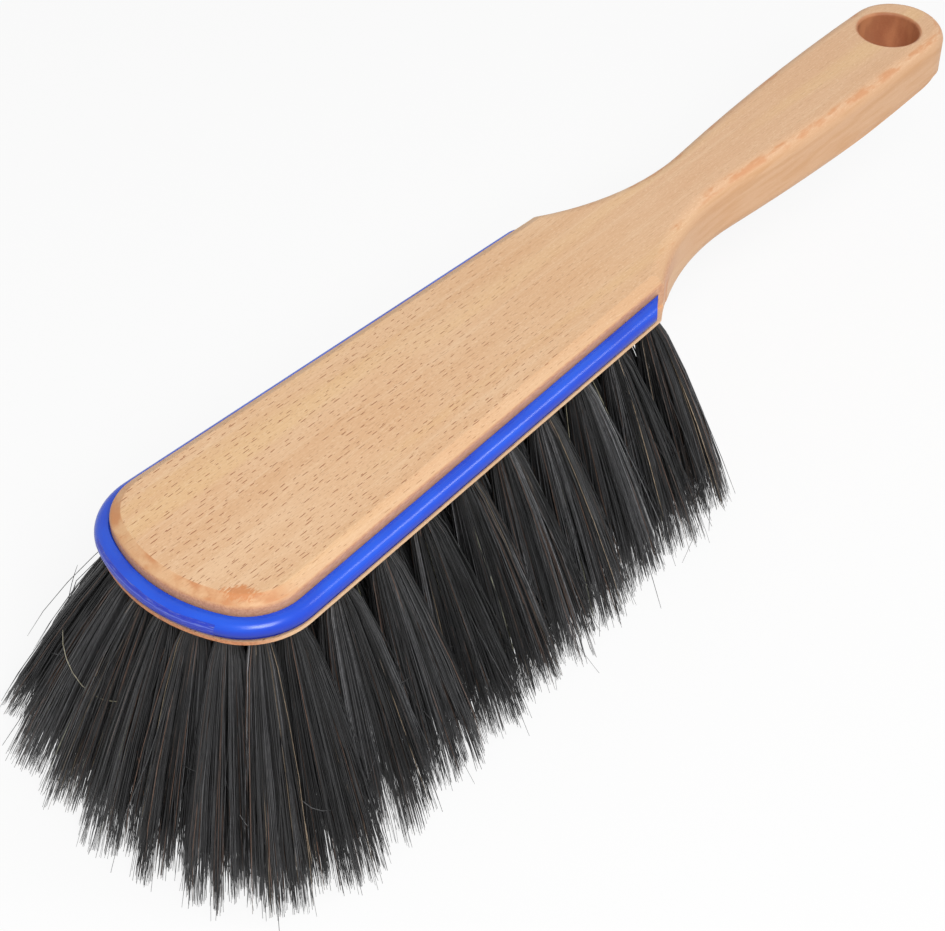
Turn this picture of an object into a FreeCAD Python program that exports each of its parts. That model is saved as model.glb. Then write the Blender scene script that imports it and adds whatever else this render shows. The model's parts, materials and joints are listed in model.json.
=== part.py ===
import FreeCAD, Part
import math
import os

# Hand broom: a one-piece beech body, a bumper strip round the head, and horsehair tufts
# held in drilled holes by flat wire anchors. Millimetres, +Z up, standing on the bristle
# tips at z = 0. Lengths along the broom are measured from the nose of the wooden flange
# towards the handle, and the finished pieces are then centred on x = 0.

V = FreeCAD.Vector
UP = V(0, 0, 1)

# Plan of the wooden body
BODY_LENGTH = 353.4
NOSE_RADIUS = 51.4
NOSE_CORNER_RADIUS = 20.4
HEAD_FRONT_X = 23.7
HEAD_FRONT_WIDTH = 66.8
HEAD_REAR_X = 174.4
HEAD_REAR_WIDTH = 54.9
SHOULDER_RADIUS = 5.0
NECK_DISTANCE = 50.1
NECK_WIDTH = 22.6
NECK_RADIUS = 85.0
FLANK_RADIUS = 900.0
HANDLE_END_RADIUS = 16.0

# Hanging hole
HOLE_END_DISTANCE = 20.4
HOLE_DIAMETER = 20.0
HOLE_RIM_RADIUS = 1.0

# Heights of the wooden body
TRIM_HEIGHT = 59.3
BODY_THICKNESS = 20.5
HANDLE_TOP_RADIUS = 4.5
HANDLE_BOTTOM_RADIUS = 5.0
HEAD_BEVEL_WIDTH = 3.0
HEAD_BEVEL_HEIGHT = 1.7
HEAD_EDGE_RADIUS = 1.2
CAMBER_RISE = 9.0
NOSE_CAMBER_LENGTH = 38.0
CAMBER_FADE_LENGTH = 66.8
FLANGE_THICKNESS = 1.2
FLANGE_BEVEL_WIDTH = 8.0
FLANGE_BEVEL_ANGLE = 28.0

# Rebate and bumper strip
REBATE_WIDTH = 3.4
BEAD_WIDTH = 4.4
BEAD_HEIGHT = 5.9
BEAD_CREVICE = 0.45
TONGUE_DEPTH = 3.5
TONGUE_THICKNESS = 1.6
STRIP_FIT = 0.05
STRIP_END_SETBACK = 1.5

# Tufts and the holes that hold them
TUFT_HOLE_DIAMETER = 6.0
TUFT_HOLE_DEPTH = 10.0
TUFT_CLEARANCE = 0.3
TUFT_INSET = 8.0
REAR_TUFT_DISTANCE = 3.6
SIDE_TUFTS = 10
NOSE_TUFTS = 7

# Fan of the tufts: how far the tips stand out past the roots
SIDE_SPREAD = 2.05
NOSE_LEAN = 26.0
NOSE_LEAN_LENGTH = 72.0
REAR_LEAN = 4.0
REAR_LEAN_LENGTH = 51.0
TIP_GAP = 0.8

# Flat wire anchors across the bottoms of the tuft holes
ANCHOR_BITE = 0.5
ANCHOR_THICKNESS = 0.45
ANCHOR_HEIGHT = 2.0
ANCHOR_RISE = 1.0
ANCHOR_FIT = 0.05

# Room that cutting tools take past the faces they cut
CUT_MARGIN = 5.0

# How near two heights count as level
LEVEL_TOLERANCE = 1e-6

TOP_Z = TRIM_HEIGHT + BODY_THICKNESS
FLANGE_TOP_Z = TRIM_HEIGHT + CAMBER_RISE + FLANGE_THICKNESS
REBATE_DEPTH = TOP_Z - FLANGE_TOP_Z
NECK_X = HEAD_REAR_X + NECK_DISTANCE
HOLE_X = BODY_LENGTH - HOLE_END_DISTANCE
CAMBER_FADE_X = HEAD_REAR_X + CAMBER_FADE_LENGTH
REAR_TUFT_X = HEAD_REAR_X + REAR_TUFT_DISTANCE
NOSE_CENTRE = V(NOSE_RADIUS, 0, 0)
NECK_CENTRE = V(NECK_X, NECK_WIDTH / 2 + NECK_RADIUS, 0)
END_CENTRE = V(BODY_LENGTH - HANDLE_END_RADIUS, 0, 0)
SIDE_FRONT = V(HEAD_FRONT_X, HEAD_FRONT_WIDTH / 2, 0)
SIDE_REAR = V(HEAD_REAR_X, HEAD_REAR_WIDTH / 2, 0)
SIDE_DIRECTION = (SIDE_REAR - SIDE_FRONT).normalize()
SIDE_NORMAL = V(-SIDE_DIRECTION.y, SIDE_DIRECTION.x, 0)


# Plane geometry of tangent lines and arcs

def toward(start, end, distance):
    """The point at a distance from start on the way to end."""
    return start + (end - start).normalize() * distance


def front_point_on_side(inset, centre, distance):
    """The front point of the side line, moved inwards by inset, at a distance from centre."""
    base = SIDE_REAR - SIDE_NORMAL * inset
    across = base - centre
    half = across.dot(SIDE_DIRECTION)
    root = math.sqrt(half * half - across.dot(across) + distance * distance)
    return base - SIDE_DIRECTION * (half + root)


def lower_meeting_point(centre_a, radius_a, centre_b, radius_b):
    """The lower of the two points where circles a and b meet."""
    gap = centre_b - centre_a
    length = gap.Length
    along = (length * length + radius_a * radius_a - radius_b * radius_b) / (2 * length)
    height = math.sqrt(radius_a * radius_a - along * along)
    unit = gap * (1 / length)
    return centre_a + unit * along + V(unit.y, -unit.x, 0) * height


def arc_edge(centre, radius, start, end):
    middle = centre + ((start - centre) + (end - centre)).normalize() * radius
    return Part.Arc(start, middle, end).toShape()


def line_edge(start, end):
    return Part.LineSegment(start, end).toShape()


def mirrored(edges):
    return [edge.mirror(V(0, 0, 0), V(0, 1, 0)) for edge in edges]


CORNER_CENTRE = front_point_on_side(NOSE_CORNER_RADIUS, NOSE_CENTRE, NOSE_RADIUS - NOSE_CORNER_RADIUS)


def nose_edges(offset):
    """Half of the nose curve, moved outwards by offset, from the centre line to the side."""
    front_radius = NOSE_RADIUS + offset
    corner_radius = NOSE_CORNER_RADIUS + offset
    tip = NOSE_CENTRE - V(front_radius, 0, 0)
    join = toward(NOSE_CENTRE, CORNER_CENTRE, front_radius)
    side = CORNER_CENTRE + SIDE_NORMAL * corner_radius
    return [arc_edge(NOSE_CENTRE, front_radius, tip, join),
            arc_edge(CORNER_CENTRE, corner_radius, join, side)]


def side_point(x, offset):
    """The point of the straight side at x, moved outwards by offset."""
    base = SIDE_REAR + SIDE_NORMAL * offset
    return base + SIDE_DIRECTION * ((x - base.x) / SIDE_DIRECTION.x)


def head_edges(offset, rear_x):
    """Half of the head's outline, moved outwards by offset, from the nose to rear_x."""
    side = CORNER_CENTRE + SIDE_NORMAL * (NOSE_CORNER_RADIUS + offset)
    return nose_edges(offset) + [line_edge(side, side_point(rear_x, offset))]


def body_edges():
    """Half of the body's outline: nose, side, shoulder, neck, flank and end of the handle."""
    shoulder = front_point_on_side(SHOULDER_RADIUS, NECK_CENTRE, NECK_RADIUS + SHOULDER_RADIUS)
    flank = lower_meeting_point(NECK_CENTRE, FLANK_RADIUS + NECK_RADIUS,
                                END_CENTRE, FLANK_RADIUS - HANDLE_END_RADIUS)
    side_end = shoulder + SIDE_NORMAL * SHOULDER_RADIUS
    neck_start = toward(NECK_CENTRE, shoulder, NECK_RADIUS)
    neck_end = toward(NECK_CENTRE, flank, NECK_RADIUS)
    flank_end = toward(flank, END_CENTRE, FLANK_RADIUS)
    return head_edges(0, side_end.x) + [
        arc_edge(shoulder, SHOULDER_RADIUS, side_end, neck_start),
        arc_edge(NECK_CENTRE, NECK_RADIUS, neck_start, neck_end),
        arc_edge(flank, FLANK_RADIUS, neck_end, flank_end),
        arc_edge(END_CENTRE, HANDLE_END_RADIUS, flank_end, V(BODY_LENGTH, 0, 0))]


def head_wire(offset, rear_x, z):
    """The head's outline at height z, moved outwards by offset and cut off square at rear_x."""
    half = head_edges(offset, rear_x)
    corner = side_point(rear_x, offset)
    rear = line_edge(corner, V(corner.x, -corner.y, 0))
    wire = Part.Wire(Part.__sortEdges__(half + mirrored(half) + [rear]))
    wire.translate(V(0, 0, z))
    return wire


def head_prism(offset, rear_x, low_z, high_z):
    return Part.Face(head_wire(offset, rear_x, low_z)).extrude(V(0, 0, high_z - low_z))


def edges_at(shape, z, front_of_x):
    """The edges that lie in the plane z, leaving out any that lie behind front_of_x."""
    return [edge for edge in shape.Edges
            if abs(edge.BoundBox.ZMin - z) < LEVEL_TOLERANCE
            and abs(edge.BoundBox.ZMax - z) < LEVEL_TOLERANCE
            and edge.BoundBox.XMin < front_of_x]


# Wooden body

def arc_radius(half_chord, rise):
    return (half_chord * half_chord + rise * rise) / (2 * rise)


def bow(distance, half_chord, rise):
    """How far a round bow that rises by rise at half_chord has risen at a distance from its middle."""
    if rise == 0:
        return 0
    radius = arc_radius(half_chord, rise)
    return radius - math.sqrt(radius * radius - distance * distance)


def camber_section(x, half_width, rise):
    """A section of the space above the cambered underside: a bowed floor and square walls."""
    roof = TOP_Z + CUT_MARGIN
    wide = half_width + CUT_MARGIN
    low = TRIM_HEIGHT + bow(wide, half_width, rise)
    low_left = V(x, -wide, low)
    low_right = V(x, wide, low)
    floor = line_edge(low_left, low_right)
    if rise > 0:
        floor = Part.Arc(low_left, V(x, 0, TRIM_HEIGHT), low_right).toShape()
    top_left = V(x, -wide, roof)
    top_right = V(x, wide, roof)
    return Part.Wire([floor, line_edge(low_right, top_right), line_edge(top_right, top_left),
                      line_edge(top_left, low_left)])


def camber_space():
    """The space above the underside, bowed across the head and fading out along the neck."""
    front_x = -CUT_MARGIN
    front = camber_section(front_x, side_point(front_x, 0).y, CAMBER_RISE)
    rear_half = HEAD_REAR_WIDTH / 2
    rear = camber_section(HEAD_REAR_X, rear_half, CAMBER_RISE)
    fade = camber_section(CAMBER_FADE_X, rear_half, 0)
    end = camber_section(BODY_LENGTH + CUT_MARGIN, rear_half, 0)
    spans = [Part.makeLoft([start, stop], True, True)
             for start, stop in [(front, rear), (rear, fade), (fade, end)]]
    return spans[0].fuse(spans[1:])


def nose_camber_space():
    """The space above the underside's rise towards the nose, seen from the side."""
    half = HEAD_FRONT_WIDTH
    radius = arc_radius(NOSE_CAMBER_LENGTH, CAMBER_RISE)
    centre = V(NOSE_CAMBER_LENGTH, -half, TRIM_HEIGHT + radius)
    front = V(0, -half, TRIM_HEIGHT + CAMBER_RISE)
    level = V(NOSE_CAMBER_LENGTH, -half, TRIM_HEIGHT)
    rear = V(BODY_LENGTH + CUT_MARGIN, -half, TRIM_HEIGHT)
    lip = front - V(CUT_MARGIN, 0, 0)
    roof = V(0, 0, BODY_THICKNESS + CUT_MARGIN)
    rear_roof = rear + roof
    lip_roof = V(lip.x, -half, rear_roof.z)
    outline = Part.Wire([arc_edge(centre, radius, front, level), line_edge(level, rear),
                         line_edge(rear, rear_roof), line_edge(rear_roof, lip_roof),
                         line_edge(lip_roof, lip), line_edge(lip, front)])
    return Part.Face(outline).extrude(V(0, 2 * half, 0))


def flange_space():
    """The space above a sloping bevel that leaves the flange's lower edge level all round."""
    edge_z = TRIM_HEIGHT + CAMBER_RISE
    slope = math.tan(math.radians(FLANGE_BEVEL_ANGLE))
    rear_x = BODY_LENGTH + CUT_MARGIN
    levels = [(CUT_MARGIN, TOP_Z + CUT_MARGIN), (CUT_MARGIN, edge_z + CUT_MARGIN * slope),
              (-FLANGE_BEVEL_WIDTH, edge_z - FLANGE_BEVEL_WIDTH * slope),
              (-FLANGE_BEVEL_WIDTH, TRIM_HEIGHT - CUT_MARGIN)]
    return Part.makeLoft([head_wire(offset, rear_x, z) for offset, z in levels], True, True)


def rebate_tool():
    """What is cut away round the raised, bevelled top of the head, down to the flange."""
    rear_x = NECK_X + CUT_MARGIN
    bevel_z = TOP_Z - HEAD_BEVEL_HEIGHT
    wall = head_wire(-REBATE_WIDTH, rear_x, FLANGE_TOP_Z - CUT_MARGIN)
    bevel = head_wire(-REBATE_WIDTH, rear_x, bevel_z)
    rim = head_wire(-REBATE_WIDTH - HEAD_BEVEL_WIDTH, rear_x, TOP_Z)
    raised = Part.makeLoft([wall, bevel, rim], True, True)
    edges = edges_at(raised, TOP_Z, NECK_X) + edges_at(raised, bevel_z, NECK_X)
    raised = raised.makeFillet(HEAD_EDGE_RADIUS, edges)
    around = Part.makeBox(NECK_X + CUT_MARGIN, 2 * HEAD_FRONT_WIDTH, REBATE_DEPTH + CUT_MARGIN,
                          V(-CUT_MARGIN, -HEAD_FRONT_WIDTH, FLANGE_TOP_Z))
    return around.cut(raised)


def neck_cutters(setback):
    """Upright cylinders that cut off what runs past the neck's curves, less a setback."""
    cutters = []
    for side in (1, -1):
        centre = V(NECK_CENTRE.x, side * NECK_CENTRE.y, FLANGE_TOP_Z - CUT_MARGIN)
        cutters.append(Part.makeCylinder(NECK_RADIUS + setback, REBATE_DEPTH + 2 * CUT_MARGIN, centre))
    return cutters


def groove_tool():
    """The groove in the wall of the rebate that takes the tongue of the bumper strip."""
    half_height = TONGUE_THICKNESS / 2 + STRIP_FIT
    low = FLANGE_TOP_Z + BEAD_HEIGHT / 2 - half_height
    high = FLANGE_TOP_Z + BEAD_HEIGHT / 2 + half_height
    inner_offset = -REBATE_WIDTH - TONGUE_DEPTH - STRIP_FIT
    band = head_prism(0, NECK_X, low, high).cut(head_prism(inner_offset, NECK_X + CUT_MARGIN, low, high))
    return band.cut(neck_cutters(STRIP_END_SETBACK - STRIP_FIT))


def hanging_hole_tool():
    """The hanging hole, flared by a round at both rims."""
    radius = HOLE_DIAMETER / 2
    rim = HOLE_RIM_RADIUS
    low = TRIM_HEIGHT
    cylinder = Part.makeCylinder(radius, BODY_THICKNESS + 2 * CUT_MARGIN, V(HOLE_X, 0, low - CUT_MARGIN))
    flares = []
    for face_z, inward in [(TOP_Z, -1), (low, 1)]:
        wall = V(HOLE_X + radius, 0, face_z + inward * rim)
        lip = V(HOLE_X + radius + rim, 0, face_z)
        middle = V(wall.x + rim, 0, wall.z) + V(-1, 0, -inward).normalize() * rim
        axis_low = V(HOLE_X, 0, wall.z)
        axis_high = V(HOLE_X, 0, lip.z)
        outline = Part.Wire([Part.Arc(wall, middle, lip).toShape(), line_edge(lip, axis_high),
                             line_edge(axis_high, axis_low), line_edge(axis_low, wall)])
        flares.append(Part.Face(outline).revolve(V(HOLE_X, 0, 0), UP, 360))
    return cylinder.fuse(flares)


def beech_body(tufts):
    half = body_edges()
    outline = Part.Face(Part.Wire(Part.__sortEdges__(half + mirrored(half))))
    outline.translate(V(0, 0, TRIM_HEIGHT))
    block = outline.extrude(V(0, 0, BODY_THICKNESS))
    block = block.makeFillet(HANDLE_TOP_RADIUS, edges_at(block, TOP_Z, BODY_LENGTH))
    block = block.makeFillet(HANDLE_BOTTOM_RADIUS, edges_at(block, TRIM_HEIGHT, BODY_LENGTH))
    block = block.common(camber_space()).common(nose_camber_space()).common(flange_space())
    block = block.cut([rebate_tool(), hanging_hole_tool()])
    block = block.cut(groove_tool())
    drills = [tuft.hole() for tuft in tufts]
    pockets = [tuft.anchor(ANCHOR_FIT) for tuft in tufts]
    return block.cut(drills + pockets).removeSplitter()


# Bumper strip

def bumper_strip():
    """A round bead lying on the flange, with a tongue in the groove, trimmed off along the neck."""
    half = head_edges(-REBATE_WIDTH, NECK_X)
    path = Part.Wire(Part.__sortEdges__(mirrored(half) + half))
    start = side_point(NECK_X, -REBATE_WIDTH)
    start = V(start.x, -start.y, FLANGE_TOP_Z)
    outward = V(SIDE_NORMAL.x, -SIDE_NORMAL.y, 0)

    def at(out, height):
        return start + outward * out + UP * height

    middle = BEAD_HEIGHT / 2
    tongue_low = middle - TONGUE_THICKNESS / 2
    tongue_high = middle + TONGUE_THICKNESS / 2
    round_start = BEAD_WIDTH - (middle - STRIP_FIT)
    crown = BEAD_HEIGHT - STRIP_FIT
    corners = [at(round_start, crown), at(STRIP_FIT + BEAD_CREVICE, crown),
               at(STRIP_FIT, crown - BEAD_CREVICE), at(STRIP_FIT, tongue_high),
               at(-TONGUE_DEPTH, tongue_high), at(-TONGUE_DEPTH, tongue_low),
               at(STRIP_FIT, tongue_low), at(STRIP_FIT, STRIP_FIT), at(round_start, STRIP_FIT)]
    bead = Part.Arc(corners[-1], at(BEAD_WIDTH, middle), corners[0]).toShape()
    profile = Part.Wire([line_edge(a, b) for a, b in zip(corners, corners[1:])] + [bead])
    path.translate(V(0, 0, FLANGE_TOP_Z))
    strip = path.makePipeShell([profile], True, True)
    return strip.cut(neck_cutters(STRIP_END_SETBACK))


# Tufts and anchors

class Tuft:
    """One tuft: where its hole opens in the underside, and where its tips aim for on the floor."""

    def __init__(self, x, y):
        self.mouth = V(x, y, underside_z(x, y))
        self.aim = V(tip_x(x), y * SIDE_SPREAD, 0)

    def spread(self, before, after):
        """Open the tips along the row to fill the room between the tufts before and after."""
        gaps = [(other.aim - self.aim).Length for other in (before, after) if other is not self]
        along = (after.aim - before.aim).normalize()
        self.tip = self.aim + along * ((gaps[-1] - gaps[0]) / 4)
        self.axis = (self.tip - self.mouth).normalize()
        room = sum(gaps) / len(gaps) - TIP_GAP
        sizes = [(along, room / 2), (UP.cross(along), tip_half_across())]
        sizes.sort(key=lambda size: -size[1])
        (self.long, self.long_half), (self.short, self.short_half) = sizes
        self.root_long = (self.long - self.axis * self.long.dot(self.axis)).normalize()
        self.root_short = self.axis.cross(self.root_long)
        if self.root_short.dot(self.short) < 0:
            self.root_short = self.root_short * -1

    def foremost(self):
        """How far forward the oval of the tips reaches."""
        return self.tip.x - math.hypot(self.long.x * self.long_half, self.short.x * self.short_half)

    def circle(self, distance, radius):
        centre = self.mouth + self.axis * distance
        rim = [centre + self.root_long * radius, centre + self.root_short * radius,
               centre - self.root_long * radius]
        return Part.Wire([Part.Circle(*rim).toShape()])

    def hole(self):
        depth = TUFT_HOLE_DEPTH + CUT_MARGIN
        return Part.makeCylinder(TUFT_HOLE_DIAMETER / 2, depth,
                                 self.mouth + self.axis * CUT_MARGIN, self.axis * -1)

    def anchor(self, room):
        """The flat anchor that lies across the bottom of the hole, grown by room on every side."""
        length = TUFT_HOLE_DIAMETER + 2 * ANCHOR_BITE + 2 * room
        width = ANCHOR_THICKNESS + 2 * room
        height = ANCHOR_HEIGHT + 2 * room
        strip = Part.makeBox(length, width, height, V(-length / 2, -width / 2, -ANCHOR_HEIGHT - room))
        seat = self.mouth - self.axis * (TUFT_HOLE_DEPTH - ANCHOR_RISE - ANCHOR_HEIGHT)
        turn = FreeCAD.Rotation(self.root_long, self.axis.cross(self.root_long), self.axis, "ZXY")
        strip.Placement = FreeCAD.Placement(seat, turn)
        return strip

    def solid(self):
        """A round root in the hole that flares to an oval at the tips, folded over its anchor."""
        radius = TUFT_HOLE_DIAMETER / 2 - TUFT_CLEARANCE
        tip = Part.Ellipse(self.tip + self.long * self.long_half,
                           self.tip + self.short * self.short_half, self.tip)
        sections = [self.circle(TUFT_CLEARANCE - TUFT_HOLE_DEPTH, radius), self.circle(0, radius),
                    Part.Wire([tip.toShape()])]
        return Part.makeLoft(sections, True, True).cut(self.anchor(TUFT_CLEARANCE))


def tip_half_across():
    """Half the room that the rows leave each tuft at its tips, where the head is narrowest."""
    return (side_point(REAR_TUFT_X, -TUFT_INSET).y * SIDE_SPREAD / 2 - TIP_GAP) / 2


def underside_z(x, y):
    """Height of the cambered underside of the head at x, y."""
    fading = min((CAMBER_FADE_X - x) / CAMBER_FADE_LENGTH, 1)
    across = bow(y, side_point(x, 0).y, CAMBER_RISE) * fading
    forward = bow(max(NOSE_CAMBER_LENGTH - x, 0), NOSE_CAMBER_LENGTH, CAMBER_RISE)
    return TRIM_HEIGHT + max(across, forward)


def tip_x(x):
    """Where the tips of a tuft rooted at x stand: fanned forwards at the nose and back at the rear."""
    front = max(TUFT_INSET + NOSE_LEAN_LENGTH - x, 0) / NOSE_LEAN_LENGTH
    rear = max(x - REAR_TUFT_X + REAR_LEAN_LENGTH, 0) / REAR_LEAN_LENGTH
    return x - NOSE_LEAN * front * front + REAR_LEAN * rear * rear


def place_tufts():
    """The tufts by name: a ring round the edge of the head, two inner rows and a middle row."""
    curve = nose_edges(-TUFT_INSET)
    rear = side_point(REAR_TUFT_X, -TUFT_INSET)
    step = (curve[-1].Vertexes[-1].Point - rear) * (1 / (SIDE_TUFTS - 1))
    side = [rear + step * number for number in range(SIDE_TUFTS)]
    inner = [point + step * 0.5 for point in side[:-1]]
    nose = Part.Wire(Part.__sortEdges__(curve + mirrored(curve))).discretize(NOSE_TUFTS + 2)[1:-1]
    nose.sort(key=lambda point: -point.y)
    rows = {"right_outer": [Tuft(point.x, point.y) for point in side],
            "nose": [Tuft(point.x, point.y) for point in nose],
            "left_outer": [Tuft(point.x, -point.y) for point in side],
            "right_inner": [Tuft(point.x, point.y / 2) for point in inner],
            "left_inner": [Tuft(point.x, -point.y / 2) for point in inner],
            "middle": [Tuft(point.x, 0) for point in side]}
    ring = rows["right_outer"] + rows["nose"] + rows["left_outer"][::-1]
    for row in [ring, rows["right_inner"], rows["left_inner"], rows["middle"]]:
        for before, tuft, after in zip(row[:1] + row, row, row[1:] + row[-1:]):
            tuft.spread(before, after)
    return {"tuft_%s_%02d" % (row, number + 1): tuft
            for row, tufts in rows.items() for number, tuft in enumerate(tufts)}


def build():
    tufts = place_tufts()
    anchors = Part.makeCompound([tuft.anchor(0) for tuft in tufts.values()])
    pieces = {"beech_body": beech_body(tufts.values()), "bumper_strip": bumper_strip(),
              "tuft_anchors": anchors}
    for name, tuft in tufts.items():
        pieces[name] = tuft.solid()
    foremost = min(tuft.foremost() for tuft in tufts.values())
    centring = V(-(foremost + BODY_LENGTH) / 2, 0, 0)
    os.makedirs("parts", exist_ok=True)
    for name, shape in pieces.items():
        shape.translate(centring)
        shape.exportStep("parts/%s.step" % name)
        print(name, len(shape.Solids), shape.isValid(), round(shape.Volume, 1))


build()
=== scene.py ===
import json
import math

import bpy
import numpy as np
from bpy.props import FloatProperty, FloatVectorProperty, IntProperty, PointerProperty
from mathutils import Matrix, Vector

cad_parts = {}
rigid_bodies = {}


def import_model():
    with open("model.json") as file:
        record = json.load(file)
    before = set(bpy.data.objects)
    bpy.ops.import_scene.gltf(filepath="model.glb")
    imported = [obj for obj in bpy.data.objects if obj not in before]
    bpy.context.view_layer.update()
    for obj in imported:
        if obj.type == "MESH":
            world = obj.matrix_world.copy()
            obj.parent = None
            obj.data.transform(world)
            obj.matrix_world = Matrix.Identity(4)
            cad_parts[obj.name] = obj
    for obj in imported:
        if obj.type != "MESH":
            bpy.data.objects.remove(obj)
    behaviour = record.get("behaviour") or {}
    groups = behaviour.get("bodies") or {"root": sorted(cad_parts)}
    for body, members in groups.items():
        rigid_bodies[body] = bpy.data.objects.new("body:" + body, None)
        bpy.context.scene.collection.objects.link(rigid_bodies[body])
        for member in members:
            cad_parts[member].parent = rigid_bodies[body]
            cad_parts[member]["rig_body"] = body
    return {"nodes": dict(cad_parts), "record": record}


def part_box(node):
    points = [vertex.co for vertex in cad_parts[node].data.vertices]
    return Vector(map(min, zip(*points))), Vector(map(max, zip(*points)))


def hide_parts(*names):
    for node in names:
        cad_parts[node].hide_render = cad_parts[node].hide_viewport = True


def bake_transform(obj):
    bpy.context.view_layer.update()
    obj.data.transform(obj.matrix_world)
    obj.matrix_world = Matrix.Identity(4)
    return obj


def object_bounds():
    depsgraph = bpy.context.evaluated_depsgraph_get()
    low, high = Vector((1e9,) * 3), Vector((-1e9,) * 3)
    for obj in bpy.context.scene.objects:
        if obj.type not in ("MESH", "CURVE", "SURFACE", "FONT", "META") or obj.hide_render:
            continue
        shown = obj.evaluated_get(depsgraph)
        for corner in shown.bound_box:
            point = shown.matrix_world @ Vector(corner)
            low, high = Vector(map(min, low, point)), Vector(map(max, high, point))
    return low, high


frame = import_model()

bl_info = {
    "name": "Hand broom",
    "version": (1, 0, 0),
    "blender": (4, 5, 0),
    "location": "3D View > Sidebar > Broom",
    "description": "Dresses a hand broom: beech, a blue bumper strip, horsehair tufts and a studio",
    "category": "Object",
}


# Sizes read from the solids

# Millimetres in a metre: the materials are measured in millimetres, the meshes in metres
MM = 1000.0

NODES = frame["nodes"]
CAD_BOX = [list(corner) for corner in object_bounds()]
HOLE = next(mount for mount in frame["record"]["mounts"] if mount["name"] == "hanging_hole")
HOLE_CENTRE_MM = [value * MM for value in HOLE["pos_m"]]
HOLE_RADIUS_MM = HOLE["dims"]["r_mm"]
STRIP_LOW, STRIP_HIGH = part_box("bumper_strip")
NOSE_X_MM = STRIP_LOW.x * MM
FLANGE_TOP_MM = STRIP_LOW.z * MM
STRIP_HEIGHT_MM = (STRIP_HIGH.z - STRIP_LOW.z) * MM
WOOD_TOP_MM = CAD_BOX[1][2] * MM


# Colours

def linear(red, green, blue):
    """A colour as seen on a screen, 0 to 255, as the linear light that shaders take."""
    def channel(value):
        value = value / 255
        return value / 12.92 if value <= 0.04045 else ((value + 0.055) / 1.055) ** 2.4
    return channel(red), channel(green), channel(blue)


# Beech: where two colours are given, the wood wanders between them
BLOTCH = linear(224, 174, 128)
HANDLE_TAN = linear(229, 184, 146)
PALE_STREAK = linear(241, 206, 168)
HONEY_STREAK = linear(238, 199, 144)
DARK_FIBRE = linear(206, 156, 110)
PALE_SPECKLE = linear(250, 218, 180)
SIDE_TAN = linear(212, 164, 122)
SIDE_STREAK = linear(206, 150, 98)
NOSE_WALL = (linear(176, 98, 58), linear(212, 144, 98))
HEAD_WALL = (linear(196, 132, 98), linear(222, 168, 130))
BEVEL_TAN = linear(212, 166, 122)
RUBBED_BAND = (linear(229, 178, 130), linear(208, 140, 90))
RUBBED_GRIT = linear(196, 128, 80)
BORE_WALL = (linear(194, 128, 86), linear(168, 102, 66))
UNDER_TAN = linear(214, 166, 122)

# Plastic
# Painted shade: darker blues that stand in for the shade on the strip's sides and underside
PAINTED_SHADE_BLUE_SIDE = linear(10, 50, 188)
PAINTED_SHADE_BLUE_UNDER = linear(6, 28, 132)
WORN_BLUE = linear(26, 50, 188)
PALE_SCRATCH = linear(134, 144, 196)
DARK_SCRATCH = linear(24, 32, 110)
WORN_RIM = linear(108, 132, 232)
SCUFF_GREY = linear(112, 96, 110)

# Steel wire, hair and the white of the studio
DARK_WIRE = linear(120, 122, 126)
DEEP_BLACK = (0.012, 0.012, 0.0125)
WHITE = (1.0, 1.0, 1.0, 1.0)


# Procedural materials

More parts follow.
